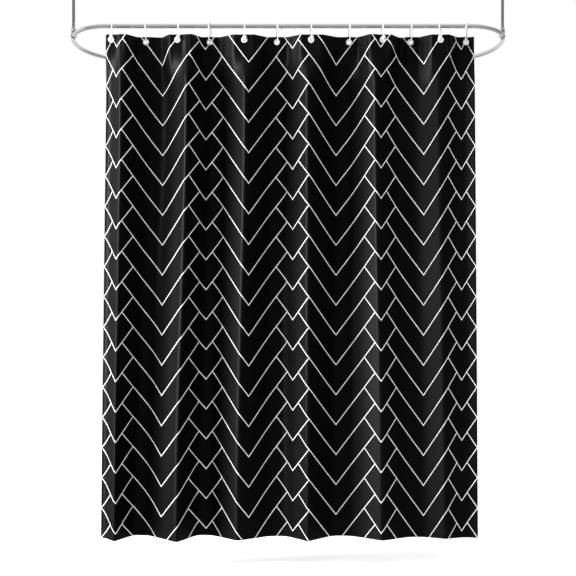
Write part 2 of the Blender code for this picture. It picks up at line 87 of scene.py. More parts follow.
SHEET_LOW, SHEET_HIGH = (Vector(corner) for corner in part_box("curtain_sheet"))
TOP_Z = SHEET_HIGH.z
CURTAIN_DROP = SHEET_HIGH.z - SHEET_LOW.z
HOOK_COUNT = 12
HOOK_NAMES = [f"hook_{i + 1:02d}" for i in range(HOOK_COUNT)]
EYELET_NAMES = [f"eyelet_{i + 1:02d}" for i in range(HOOK_COUNT)]
EYELETS = [box_middle(name) for name in EYELET_NAMES]
ENDS = (("left", -1), ("right", 1))

FLAT_WIDTH = 1.83
FLAT_LENGTH = 1.83


# ---- Camera, floor and light ----------------------------------------------------------------

EYE_DISTANCE = 4.77         # from the cloth's plane
EYE_BELOW_RAIL = 0.9476
LENS = 82.4
FLOOR_BELOW_HEM = 0.11
FLOOR_SIZE = 14
FLOOR_GLOW = 0.35
FLOOR_IN_GLOSS = 0.42       # how bright polished pieces see the floor
BRIGHT_AROUND = 0.72        # the studio's brightness above, below, behind and to the left
DARK_AHEAD = 0.20           # and its brightness ahead and to the right, at eye height


def make_camera():
    data = bpy.data.cameras.new("camera")
    data.lens = LENS
    data.sensor_width = 36.0
    data.clip_end = 60.0
    camera = bpy.data.objects.new("camera", data)
    camera.location = (0, FRONT_Y - EYE_DISTANCE, RAIL_Z - EYE_BELOW_RAIL)
    camera.rotation_euler = (math.radians(90), 0, 0)
    bpy.context.collection.objects.link(camera)
    bpy.context.scene.camera = camera


def area_light(name, place, target, width, height, power, in_gloss=True):
    data = bpy.data.lights.new(name, "AREA")
    data.shape = "RECTANGLE"
    data.size = width
    data.size_y = height
    data.energy = power
    light = bpy.data.objects.new(name, data)
    light.visible_camera = False
    light.visible_glossy = in_gloss
    light.location = place
    aim = Vector(target) - Vector(place)
    light.rotation_euler = aim.to_track_quat("-Z", "Y").to_euler()
    bpy.context.collection.objects.link(light)


def make_lights():
    middle = (0, FRONT_Y, RAIL_Z - 0.9)
    area_light("key_from_left", (-2.97, -1.39, RAIL_Z - 0.5), middle, 1.5, 2.6, 350)
    area_light("high_front", (0.3, -2.8, 2.4), middle, 3.2, 1.6, 200, in_gloss=False)
    area_light("soft_right", (4.2, -1.6, 1.2), middle, 1.5, 1.5, 30, in_gloss=False)


def make_world():
    """White to the eye; to the object, bright except ahead and to the right at eye height."""
    bpy.context.scene.view_settings.view_transform = "Standard"
    world = bpy.data.worlds.new("studio")
    bpy.context.scene.world = world
    world.use_nodes = True
    tree = world.node_tree
    nodes, links = tree.nodes, tree.links
    nodes.clear()
    output = nodes.new("ShaderNodeOutputWorld")
    direction = nodes.new("ShaderNodeTexCoord")
    split = nodes.new("ShaderNodeSeparateXYZ")
    links.new(direction.outputs["Generated"], split.inputs[0])
    sums = Sums(tree)
    height = sums.do("ABSOLUTE", split.outputs["Z"])
    away = sums.step_down(height, 0.36, 0.16)
    ahead = sums.step_down(split.outputs["Y"], 0.25, 0.25)
    right = sums.step_down(sums.do("MULTIPLY", split.outputs["X"], -1.0), -0.5, 0.25)
    dark = sums.do("MULTIPLY", away, sums.do("MAXIMUM", ahead, right))
    strength = sums.do("MULTIPLY_ADD", dark, DARK_AHEAD - BRIGHT_AROUND, BRIGHT_AROUND)
    dim = nodes.new("ShaderNodeBackground")
    dim.inputs["Color"].default_value = (1, 1, 1, 1)
    links.new(strength, dim.inputs["Strength"])
    white = nodes.new("ShaderNodeBackground")
    white.inputs["Color"].default_value = (1, 1, 1, 1)
    path = nodes.new("ShaderNodeLightPath")
    mix = nodes.new("ShaderNodeMixShader")
    links.new(path.outputs["Is Camera Ray"], mix.inputs[0])
    links.new(dim.outputs[0], mix.inputs[1])
    links.new(white.outputs[0], mix.inputs[2])
    links.new(mix.outputs[0], output.inputs["Surface"])


def make_floor():
    clear_selection()
    bpy.ops.mesh.primitive_plane_add(size=FLOOR_SIZE, location=(0, 0, SHEET_LOW.z - FLOOR_BELOW_HEM))
    floor = bpy.context.object
    floor.name = "studio_floor"
    material, shader = new_material("studio_floor", (0.92, 0.92, 0.92), 0.9)
    shader.inputs["Specular IOR Level"].default_value = 0.0
    shader.inputs["Emission Color"].default_value = (1, 1, 1, 1)
    shader.inputs["Emission Strength"].default_value = FLOOR_GLOW
    tree = material.node_tree
    dull = tree.nodes.new("ShaderNodeEmission")
    dull.inputs["Strength"].default_value = FLOOR_IN_GLOSS
    path = tree.nodes.new("ShaderNodeLightPath")
    mix = tree.nodes.new("ShaderNodeMixShader")
    tree.links.new(path.outputs["Is Glossy Ray"], mix.inputs[0])
    tree.links.new(shader.outputs[0], mix.inputs[1])
    tree.links.new(dull.outputs[0], mix.inputs[2])
    tree.links.new(mix.outputs[0], tree.nodes["Material Output"].inputs["Surface"])
    floor.data.materials.append(material)


# ---- Modelling helpers ------------------------------------------------------------------------

def clear_selection():
    if bpy.context.object and bpy.context.object.mode != "OBJECT":
        bpy.ops.object.mode_set(mode="OBJECT")
    bpy.ops.object.select_all(action="DESELECT")


def activate(piece):
    clear_selection()
    piece.select_set(True)
    bpy.context.view_layer.objects.active = piece


def edit(piece):
    activate(piece)
    bpy.ops.object.mode_set(mode="EDIT")


def done():
    bpy.ops.object.mode_set(mode="OBJECT")


def select_faces(piece, test):
    """In edit mode, selects just the faces whose middle and normal pass a test."""
    bpy.context.tool_settings.mesh_select_mode = (False, False, True)
    shape = bmesh.from_edit_mesh(piece.data)
    for face in shape.faces:
        face.select_set(bool(test(face.calc_center_median(), face.normal)))
    shape.select_flush_mode()
    bmesh.update_edit_mesh(piece.data)


def select_open_edges(piece):
    bpy.context.tool_settings.mesh_select_mode = (False, True, False)
    shape = bmesh.from_edit_mesh(piece.data)
    for edge in shape.edges:
        edge.select_set(edge.is_boundary)
    bmesh.update_edit_mesh(piece.data)


def apply_modifier(piece, kind, **settings):
    activate(piece)
    step = piece.modifiers.new(kind.lower(), kind)
    for key, value in settings.items():
        setattr(step, key, value)
    bpy.ops.object.modifier_apply(modifier=step.name)


def soften_edges(piece, width, segments=2, angle=35):
    apply_modifier(piece, "BEVEL", width=width, segments=segments, limit_method="ANGLE",
                   angle_limit=math.radians(angle), harden_normals=False)


def cut_away(piece, cutter, operation="DIFFERENCE"):
    apply_modifier(piece, "BOOLEAN", operation=operation, solver="EXACT", object=cutter)
    bpy.data.objects.remove(cutter, do_unlink=True)


def smooth(piece, angle=35):
    activate(piece)
    bpy.ops.object.shade_smooth_by_angle(angle=math.radians(angle))


def settle(piece, matrix=None):
    """Moves the piece's place and turn into its mesh, which leaves the object at the origin."""
    if matrix is not None:
        piece.matrix_world = matrix
    bpy.context.view_layer.update()
    activate(piece)
    bpy.ops.object.transform_apply(location=True, rotation=True, scale=True)


def copy_of(piece, name):
    twin = piece.copy()
    twin.data = piece.data.copy()
    twin.name = name
    bpy.context.collection.objects.link(twin)
    return twin


def cylinder(name, radius, low, high, sides=64):
    """A cylinder on the Z axis between two heights."""
    clear_selection()
    bpy.ops.mesh.primitive_cylinder_add(vertices=sides, radius=radius, depth=high - low,
                                        location=(0, 0, (low + high) / 2))
    piece = bpy.context.object
    piece.name = name
    settle(piece)
    return piece


def axis_to(direction):
    return Vector(direction).to_track_quat("Z", "Y").to_matrix().to_4x4()


def finish_piece(piece, name, material, body, replaced):
    piece.name = name
    piece.data.name = name
    if material:
        piece.data.materials.clear()
        piece.data.materials.append(material)
    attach(piece, body)
    if replaced:
        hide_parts(*replaced)


# ---- Materials --------------------------------------------------------------------------------

def new_material(name, colour, roughness, metallic=0.0):
    material = bpy.data.materials.new(name)
    material.use_nodes = True
    shader = material.node_tree.nodes["Principled BSDF"]
    shader.inputs["Base Color"].default_value = (*colour, 1.0)
    shader.inputs["Roughness"].default_value = roughness
    shader.inputs["Metallic"].default_value = metallic
    return material, shader


class Sums:
    """Short names for the math nodes of one node tree."""

    def __init__(self, tree):
        self.tree = tree

    def do(self, operation, *values):
        node = self.tree.nodes.new("ShaderNodeMath")
        node.operation = operation
        for socket, value in zip(node.inputs, values):
            if isinstance(value, (int, float)):
                socket.default_value = value
            else:
                self.tree.links.new(value, socket)
        return node.outputs[0]

    def step_down(self, value, edge, softness):
        """1 below the edge, 0 above it."""
        node = self.tree.nodes.new("ShaderNodeMapRange")
        node.interpolation_type = "SMOOTHSTEP"
        self.tree.links.new(value, node.inputs["Value"])
        node.inputs["From Min"].default_value = edge - softness
        node.inputs["From Max"].default_value = edge + softness
        node.inputs["To Min"].default_value = 1.0
        node.inputs["To Max"].default_value = 0.0
        return node.outputs[0]


def new_group(name, inputs, outputs):
    group = bpy.data.node_groups.new(name, "ShaderNodeTree")
    for label, kind, value in inputs:
        socket = group.interface.new_socket(label, in_out="INPUT", socket_type=kind)
        if value is not None:
            socket.default_value = value
    for label, kind in outputs:
        group.interface.new_socket(label, in_out="OUTPUT", socket_type=kind)
    return group, group.nodes.new("NodeGroupInput"), group.nodes.new("NodeGroupOutput")


def add_noise(tree, vector, scale, detail):
    node = tree.nodes.new("ShaderNodeTexNoise")
    if isinstance(scale, (int, float)):
        node.inputs["Scale"].default_value = scale
    else:
        tree.links.new(scale, node.inputs["Scale"])
    node.inputs["Detail"].default_value = detail
    tree.links.new(vector, node.inputs["Vector"])
    return node.outputs["Fac"]


def weave_group():
    """A plain weave of fine threads, with slubs: height, and a tone that varies about 1."""
    group, given, result = new_group(
        "plain_weave",
        [("Flat Place", "NodeSocketVector", None), ("Threads Per Metre", "NodeSocketFloat", 2200.0)],
        [("Height", "NodeSocketFloat"), ("Tone", "NodeSocketFloat")])
    sums = Sums(group)
    split = group.nodes.new("ShaderNodeSeparateXYZ")
    group.links.new(given.outputs["Flat Place"], split.inputs[0])
    turn = sums.do("MULTIPLY", given.outputs["Threads Per Metre"], math.pi)
    warp = sums.do("SINE", sums.do("MULTIPLY", split.outputs["X"], turn))
    weft = sums.do("SINE", sums.do("MULTIPLY", split.outputs["Y"], turn))
    over = sums.do("MULTIPLY_ADD", sums.do("MULTIPLY", warp, weft), 0.5, 0.5)
    slubs = add_noise(group, given.outputs["Flat Place"], 160.0, 3.0)
    height = sums.do("ADD", over, sums.do("MULTIPLY", slubs, 0.6))
    group.links.new(height, result.inputs["Height"])
    tone = sums.do("MULTIPLY_ADD", slubs, 0.5, 0.75)
    group.links.new(tone, result.inputs["Tone"])
    return group


def wear_group():
    """Slow variation and fine scuffs: a roughness that starts from a given value, and a tone."""
    group, given, result = new_group(
        "handled_surface",
        [("Place", "NodeSocketVector", None), ("Base Roughness", "NodeSocketFloat", 0.2),
         ("Spread", "NodeSocketFloat", 0.1), ("Grain", "NodeSocketFloat", 40.0)],
        [("Roughness", "NodeSocketFloat"), ("Tone", "NodeSocketFloat"), ("Height", "NodeSocketFloat")])
    sums = Sums(group)
    slow = add_noise(group, given.outputs["Place"], given.outputs["Grain"], 4.0)
    fine = add_noise(group, given.outputs["Place"], sums.do("MULTIPLY", given.outputs["Grain"], 18.0), 2.0)
    both = sums.do("ADD", sums.do("MULTIPLY", slow, 0.7), sums.do("MULTIPLY", fine, 0.3))
    centred = sums.do("SUBTRACT", both, 0.5)
    rough = sums.do("MULTIPLY_ADD", centred, given.outputs["Spread"], given.outputs["Base Roughness"])
    group.links.new(rough, result.inputs["Roughness"])
    group.links.new(sums.do("MULTIPLY_ADD", centred, 0.12, 1.0), result.inputs["Tone"])
    group.links.new(both, result.inputs["Height"])
    return group


GROUPS = {}


def placed_group(tree, name, maker, **values):
    if name not in GROUPS:
        GROUPS[name] = maker()
    node = tree.nodes.new("ShaderNodeGroup")
    node.node_tree = GROUPS[name]
    for label, value in values.items():
        node.inputs[label.replace("_", " ")].default_value = value
    return node


def tinted(tree, tone, colour, socket):
    """The colour times a varying tone, into a colour socket."""
    mix = tree.nodes.new("ShaderNodeMix")
    mix.data_type = "RGBA"
    mix.blend_type = "MULTIPLY"
    mix.inputs["Factor"].default_value = 1.0
    mix.inputs["A"].default_value = (*colour, 1.0)
    tree.links.new(tone, mix.inputs["B"])
    tree.links.new(mix.outputs["Result"], socket)


def bumped(tree, height, strength, distance, shader):
    bump = tree.nodes.new("ShaderNodeBump")
    bump.inputs["Strength"].default_value = strength
    bump.inputs["Distance"].default_value = distance
    tree.links.new(height, bump.inputs["Height"])
    tree.links.new(bump.outputs["Normal"], shader.inputs["Normal"])


def hard_material(name, colour, roughness, metallic, spread, grain, bump):
    """Metal or moulded plastic with handling marks."""
    material, shader = new_material(name, colour, roughness, metallic)
    tree = material.node_tree
    place = tree.nodes.new("ShaderNodeTexCoord")
    wear = placed_group(tree, "handled_surface", wear_group, Base_Roughness=roughness, Spread=spread,
                        Grain=grain)
    tree.links.new(place.outputs["Object"], wear.inputs["Place"])
    tree.links.new(wear.outputs["Roughness"], shader.inputs["Roughness"])
    tinted(tree, wear.outputs["Tone"], colour, shader.inputs["Base Color"])
    bumped(tree, wear.outputs["Height"], bump, 0.0004, shader)
    return material, shader


# The print, in metres of flat cloth
PRINT_REPEAT = 0.418        # one column of small chevrons to the next
PRINT_RISE = 0.110          # one chevron to the next down a column
PRINT_SLOPE = 1.08          # how steeply the lines run
SPUR = 0.0275               # a long line leaves the small chevron this far from its tip
FIRST_TIP = 0.045           # first small tip below the top edge
LINE_HALF = 0.0016
LINE_SOFT = 0.0005
SMALL_ARM = SPUR + PRINT_RISE / (2 * PRINT_SLOPE)


def flat_place(tree):
    """The cloth's own map, in metres of flat cloth from the top left corner."""
    own = tree.nodes.new("ShaderNodeUVMap")
    own.uv_map = "flat"
    scale = tree.nodes.new("ShaderNodeVectorMath")
    scale.operation = "MULTIPLY"
    scale.inputs[1].default_value = (FLAT_WIDTH, FLAT_LENGTH, 1.0)
    tree.links.new(own.outputs[0], scale.inputs[0])
    return scale.outputs[0]


def herringbone_group():
    """White lines: small nested chevrons in columns, joined by long ones between the columns."""
    group, given, result = new_group(
        "herringbone_print",
        [("Flat Place", "NodeSocketVector", None), ("Line Half Width", "NodeSocketFloat", LINE_HALF)],
        [("Lines", "NodeSocketFloat")])
    half_width = given.outputs["Line Half Width"]
    sums = Sums(group)
    split = group.nodes.new("ShaderNodeSeparateXYZ")
    group.links.new(given.outputs["Flat Place"], split.inputs[0])
    across = sums.do("DIVIDE", sums.do("SUBTRACT", split.outputs["X"], SMALL_ARM), PRINT_REPEAT)
    off_column = sums.do("ABSOLUTE", sums.do("SUBTRACT", across, sums.do("ROUND", across)))
    off_column = sums.do("MULTIPLY", off_column, PRINT_REPEAT)
    down = sums.do("SUBTRACT", split.outputs["Y"], FIRST_TIP)
    lean = 1 / math.hypot(1, PRINT_SLOPE)

    def nearness(line_height):
        rows = sums.do("DIVIDE", sums.do("SUBTRACT", down, line_height), PRINT_RISE)
        gap = sums.do("ABSOLUTE", sums.do("SUBTRACT", rows, sums.do("ROUND", rows)))
        from_line = sums.do("SUBTRACT", sums.do("MULTIPLY", gap, PRINT_RISE * lean), half_width)
        return sums.step_down(from_line, 0.0, LINE_SOFT)

    small = nearness(sums.do("MULTIPLY", off_column, -PRINT_SLOPE))
    long = nearness(sums.do("MULTIPLY", sums.do("SUBTRACT", off_column, 2 * SPUR), PRINT_SLOPE))
    small = sums.do("MULTIPLY", small, sums.do("LESS_THAN", off_column, SMALL_ARM + LINE_HALF / 2))
    long = sums.do("MULTIPLY", long, sums.do("GREATER_THAN", off_column, SPUR - LINE_HALF / 2))
    group.links.new(sums.do("MAXIMUM", small, long), result.inputs["Lines"])
    return group


BLACK = (0.0006, 0.0006, 0.0007)
PRINT_WHITE = (0.46, 0.46, 0.455)
SHOW_THROUGH = (0.12, 0.12, 0.12)   # the print seen from behind
CLOTH_GLOSS = 0.09


def cloth_material(name, print_colour=None, roughness=0.5):
    material, shader = new_material(name, BLACK, roughness)
    shader.inputs["Specular IOR Level"].default_value = CLOTH_GLOSS
    tree = material.node_tree
    place = flat_place(tree)
    weave = placed_group(tree, "plain_weave", weave_group)
    tree.links.new(place, weave.inputs["Flat Place"])
    if print_colour:
        mix = tree.nodes.new("ShaderNodeMix")
        mix.data_type = "RGBA"
        mix.inputs["B"].default_value = (*print_colour, 1.0)
        tinted(tree, weave.outputs["Tone"], BLACK, mix.inputs["A"])
        lines = placed_group(tree, "herringbone_print", herringbone_group, Line_Half_Width=LINE_HALF)
        tree.links.new(place, lines.inputs["Flat Place"])
        tree.links.new(lines.outputs["Lines"], mix.inputs["Factor"])
        tree.links.new(mix.outputs["Result"], shader.inputs["Base Color"])
    else:
        tinted(tree, weave.outputs["Tone"], BLACK, shader.inputs["Base Color"])
    bumped(tree, weave.outputs["Height"], 0.12, 0.0002, shader)
    return material


# ---- Cloth ------------------------------------------------------------------------------------

COLUMNS = 396
ROWS = 120
CLOTH_THICKNESS = 0.0006
HEM_HEIGHT = 0.025
SIDE_HEM_WIDTH = 0.014
BAND_INSET = 0.006
BAND_TOP = 0.002
BAND_FOOT = 0.044
TURNED_THICKNESS = 0.0009
BAND_THICKNESS = 0.0007
BACK_OFFSET = CLOTH_THICKNESS / 2 + 0.0005   # the middle of what is sewn on behind
HEADER_END = 0.046          # below this the folds leave the eyelets
BODY_START = 0.200          # and from here on they hang freely
HEADER_EYELET_FOLD = (EYELETS[1].y - EYELETS[0].y) / 2
EYELET_LAND = 0.0135        # half-width of the flat place around each eyelet
CREST_OFF_EYELET = 0.020    # a fold further than this from its eyelet has a crest of its own
HEADER_CREST = 1.35         # how deep that crest is, to the eyelet's depth

# Where each fold's crest or trough hangs, left to right, just below the header and at the hem
UPPER_FOLDS = (-0.600, -0.474, -0.362, -0.268, -0.152, -0.040, 0.072, 0.206, 0.315, 0.423, 0.550, 0.630)
HEM_FOLDS = (-0.622, -0.548, -0.396, -0.312, -0.180, -0.033, 0.072, 0.190, 0.340, 0.470, 0.570, 0.650)
UPPER_DEPTH = (1.0, 1.0, 1.1, 1.0, 1.1, 1.0, 1.1, 1.0, 0.95, 0.45, 0.25, 0.35)
HEM_DEPTH = (0.95, 1.0, 1.25, 1.05, 0.75, 0.75, 0.95, 0.85, 0.75, 0.45, 0.2, 0.25)
EDGE_DEPTH = (0.15, 0.1)    # how deep the two side edges hang in the body, far side positive

# How the cloth runs from a far fold, which is round, to a near one, which is tight
ROUND_SHARE = 0.50
TIGHT_SHARE = 0.09
MOST_BELLY = 0.10
DEEPEST_FOLD = 0.060


def blend(low, high, share):
    share = np.clip(share, 0, 1)
    return low + (high - low) * share * share * (3 - 2 * share)


def climb_table():
    """From 0 at the bottom of a far fold to 1 at the top of a near one."""
    t = np.linspace(0, 1, 400)
    slope = blend(0, 1, t / ROUND_SHARE) * blend(1, 0, (t - 1 + TIGHT_SHARE) / TIGHT_SHARE)
    climb = np.cumsum(slope)
    return t, (climb - climb[0]) / (climb[-1] - climb[0])


CLIMB = climb_table()
SIDE = np.where(np.arange(HOOK_COUNT) % 2 == 0, -1.0, 1.0)
SIDE_TOP = (SHEET_LOW.x + 0.0225, SHEET_HIGH.x - 0.013)
SIDE_HEM = (SHEET_LOW.x + 0.0005, SHEET_HIGH.x - 0.0005)


def spans(x, stations):
    """The span that each x is in, and how far along it."""
    k = np.clip(np.searchsorted(stations, x, side="right") - 1, 0, len(stations) - 2)
    return k, (x - stations[k]) / (stations[k + 1] - stations[k])


def header_line(x, left, right, slack):
    """Flat at each eyelet, deepest where the fold below hangs, and bellied by the cloth's slack."""
    knots = [(left, -0.75), (right, 0.8)]
    for eyelet, fold, side in zip(EYELETS, UPPER_FOLDS, SIDE):
        knots += [(eyelet.x - EYELET_LAND, side), (eyelet.x + EYELET_LAND, side)]
        if abs(fold - eyelet.x) > CREST_OFF_EYELET:
            knots.append((fold, side * HEADER_CREST))
    stations, depths = np.array(sorted(knots)).T
    k, t = spans(x, stations)
    belly = np.where(depths[k] * depths[k + 1] < -0.9, 1.0, 0.0) * slack * np.sin(2 * math.pi * t) ** 3
    share = t - np.sin(2 * math.pi * t) / (2 * math.pi) - belly
    return HEADER_EYELET_FOLD * (depths[k] + (depths[k + 1] - depths[k]) * share)


def body_line(x, folds, depth, left, right):
    """Free folds, tight at the near side and round at the far side; 1 is one fold deep."""
    stations = np.concatenate([[left], folds, [right]])
    depths = np.concatenate([[EDGE_DEPTH[0]], SIDE * depth, [EDGE_DEPTH[1]]])
    k, t = spans(x, stations)
    near_first = depths[k] < depths[k + 1]
    climb = np.interp(np.where(near_first, 1 - t, t), *CLIMB)
    near = np.where(near_first, depths[k], depths[k + 1])
    far = np.where(near_first, depths[k + 1], depths[k])
    return far + (near - far) * climb


def section(below_top, samples=2400):
    """x, y from the rail's plane, and the share of the cloth's width, at one height."""
    header = float(blend(1.0, 0.0, (below_top - HEADER_END) / (BODY_START - HEADER_END)))
    hang = (below_top - BODY_START) / (CURTAIN_DROP - BODY_START)
    body = blend(np.array(UPPER_FOLDS), np.array(HEM_FOLDS), hang)
    depth = blend(np.array(UPPER_DEPTH), np.array(HEM_DEPTH), hang)
    share = below_top / CURTAIN_DROP
    left = SIDE_TOP[0] + (SIDE_HEM[0] - SIDE_TOP[0]) * share
    right = SIDE_TOP[1] + (SIDE_HEM[1] - SIDE_TOP[1]) * share
    x = np.linspace(left, right, samples)
    free = body_line(x, body, depth, left, right)

    def line(fullness):
        held = header_line(x, left, right, MOST_BELLY * fullness)
        return header * held + (1 - header) * DEEPEST_FOLD * fullness * free

    low, high = 0.0, 1.0
    for _ in range(20):
        middle = (low + high) / 2
        if np.hypot(np.diff(x), np.diff(line(middle))).sum() < FLAT_WIDTH:
            low = middle
        else:
            high = middle
    y = line(low)
    along = np.concatenate([[0], np.cumsum(np.hypot(np.diff(x), np.diff(y)))])
    return x, y, along / along[-1]


def wrinkles(across, below_top):
    """Small drifting creases, deepest under the eyelets and fading down the cloth."""
    soft = 0.0014 * np.sin(23 * across + 5.1 * below_top) * np.sin(3.7 * below_top + 9 * across)
    pull = np.zeros_like(across)
    for i, place in enumerate(EYELETS):
        near = (across - (place.x - SIDE_TOP[0]) / (SIDE_TOP[1] - SIDE_TOP[0])) * FLAT_WIDTH
        pull += np.cos(near / 0.011 + i) * np.exp(-(near / 0.035) ** 2)
    fade = math.exp(-max(below_top - 0.05, 0) / 0.10) * min(below_top / 0.05, 1)
    return soft * min(below_top / 0.2, 1) + 0.0005 * pull * fade


# The tips of the small and long chevrons hang at an even pitch; the edge's turn narrows the last one
TIP_COLUMNS = 9
FIRST_TIP_HANGS = -0.617
TIP_PITCH = 0.1585
LAST_TIP_HANGS = 0.630
TIPS_HANG = [FIRST_TIP_HANGS + i * TIP_PITCH for i in range(TIP_COLUMNS - 1)] + [LAST_TIP_HANGS]
TIPS_FLAT = [SMALL_ARM + i * PRINT_REPEAT / 2 for i in range(TIP_COLUMNS)]
PRINT_FOLLOWS_FOLDS = 0.35  # share of the folds' own spacing that shows between the tips


def print_across(column_x, across, left, right):
    """The print's own place across the cloth, as a share: pinned at the tips, eased between them."""
    hang = [left, *TIPS_HANG, right]
    flat = [0.0, *TIPS_FLAT, FLAT_WIDTH]
    even = np.interp(column_x, hang, flat) / FLAT_WIDTH
    stray = across - even
    stray -= np.interp(column_x, hang, np.interp(hang, column_x, stray))
    return even + PRINT_FOLLOWS_FOLDS * stray


def cloth_grid():
    """Places, flat print coordinates and unit normals for the whole cloth, row by row."""
    across = np.linspace(0, 1, COLUMNS + 1)
    places = np.zeros((ROWS + 1, COLUMNS + 1, 3))
    flat = np.zeros((ROWS + 1, COLUMNS + 1, 2))
    for row in range(ROWS + 1):
        share = row / ROWS
        below = CURTAIN_DROP * (0.6 * share + 0.4 * share * share)
        x, y, along = section(below)
        column_x = np.interp(across, along, x)
        column_y = np.interp(across, along, y) + wrinkles(across, below)
        places[row] = np.stack([column_x, FRONT_Y + column_y, np.full_like(across, TOP_Z - below)], axis=1)
        flat[row, :, 0] = print_across(column_x, across, x[0], x[-1])
        flat[row, :, 1] = below / CURTAIN_DROP
    down = np.gradient(places, axis=0)
    right = np.gradient(places, axis=1)
    normals = np.cross(down, right)
    normals /= np.linalg.norm(normals, axis=2, keepdims=True)
    return places, flat, normals


def cloth_layer(name, grid, columns, rows, offset, thickness, face, reverse):
    """A piece of the cloth between two columns and two rows, set off to the back and given a thickness."""
    places, flat, normals = grid
    c0, c1 = columns
    r0, r1 = rows
    wide, tall = c1 - c0, r1 - r0
    clear_selection()
    bpy.ops.mesh.primitive_grid_add(x_subdivisions=wide, y_subdivisions=tall, size=1)
    piece = bpy.context.object
    piece.name = name
    mesh = piece.data
    count = len(mesh.vertices)
    place = np.empty(count * 3)
    mesh.vertices.foreach_get("co", place)
    place = place.reshape(-1, 3)
    column = c0 + np.rint((place[:, 0] + 0.5) * wide).astype(int)
    row = r0 + np.rint((0.5 - place[:, 1]) * tall).astype(int)
    moved = places[row, column] - offset * normals[row, column]
    mesh.vertices.foreach_set("co", moved.ravel())
    mesh.uv_layers[0].name = "flat"
    corners = np.empty(len(mesh.loops), dtype=int)
    mesh.loops.foreach_get("vertex_index", corners)
    mesh.uv_layers["flat"].data.foreach_set("uv", flat[row, column][corners].ravel())
    mesh.update()
    piece.data.materials.append(face)
    piece.data.materials.append(reverse)
    apply_modifier(piece, "SOLIDIFY", thickness=thickness, offset=0.0, use_even_offset=False,
                   material_offset=1)
    return piece


def column_at(flat_x):
    return int(round(flat_x / FLAT_WIDTH * COLUMNS))


def row_share(below_top):
    """The row, with its fraction, at a height below the top edge; rows are closer near the top."""
    share = below_top / CURTAIN_DROP
    return (-0.6 + math.sqrt(0.36 + 1.6 * share)) / 0.8 * ROWS


def row_at(below_top):
    return int(round(row_share(below_top)))


HOLE_RADIUS = 0.0072


def punch_eyelet_holes(piece):
    """One cutter of twelve rods takes all the holes."""
    rods = []
    for place in EYELETS:
        rod = cylinder("punch", HOLE_RADIUS, -0.012, 0.012, 24)
        settle(rod, Matrix.Translation(place) @ axis_to((0, 1, 0)))
        rods.append(rod)
    clear_selection()
    for rod in rods:
        rod.select_set(True)
    bpy.context.view_layer.objects.active = rods[0]
    bpy.ops.object.join()
    cut_away(piece, rods[0])


STITCH_LENGTH = 0.0028
STITCH_PITCH = 0.0042
STITCH_HALF_WIDTH = 0.00032


def sew(name, grid, lines, offsets, thread):
    """Rows of short stitches that stand on the cloth; a line is the ends of a seam in flat metres."""
    places, _, normals = grid
    stitches = bmesh.new()
    for start, stop in lines:
        length = math.dist(start, stop)
        for i in range(int(length / STITCH_PITCH)):
            near, far = ((i * STITCH_PITCH + reach) / length for reach in (0, STITCH_LENGTH))
            ends = [flat_point(start, stop, share) for share in (near, far)]
            head, tail = (on_grid(places, *end) for end in ends)
            normal = on_grid(normals, *ends[0])
            for offset in offsets:
                add_stitch(stitches, head + offset * normal, tail + offset * normal, normal)
    mesh = bpy.data.meshes.new(name)
    stitches.to_mesh(mesh)
    stitches.free()
    piece = bpy.data.objects.new(name, mesh)
    bpy.context.collection.objects.link(piece)
    finish_piece(piece, name, thread, "curtain", [])
    return piece


def flat_point(start, stop, share):
    return tuple(a + (b - a) * share for a, b in zip(start, stop))


def on_grid(values, flat_x, below_top):
    """A value of the cloth's grid at a flat place, between its columns and rows."""
    column = min(max(flat_x / FLAT_WIDTH * COLUMNS, 0), COLUMNS - 1e-6)
    row = min(max(row_share(below_top), 0), ROWS - 1e-6)
    c, r = int(column), int(row)
    u, v = column - c, row - r
    upper = values[r, c] * (1 - u) + values[r, c + 1] * u
    lower = values[r + 1, c] * (1 - u) + values[r + 1, c + 1] * u
    return Vector(upper * (1 - v) + lower * v)


def add_stitch(shape, head, tail, normal):
    """A spindle between two needle holes."""
    middle = (head + tail) / 2
    across = (tail - head).cross(normal).normalized() * STITCH_HALF_WIDTH
    up = normal.normalized() * STITCH_HALF_WIDTH
    belt = [shape.verts.new(middle + way) for way in (across, up, -across, -up)]
    for tip, order in ((shape.verts.new(head), 1), (shape.verts.new(tail), -1)):
        for i in range(4):
            shape.faces.new((tip, belt[i], belt[(i + 1) % 4])[::order])


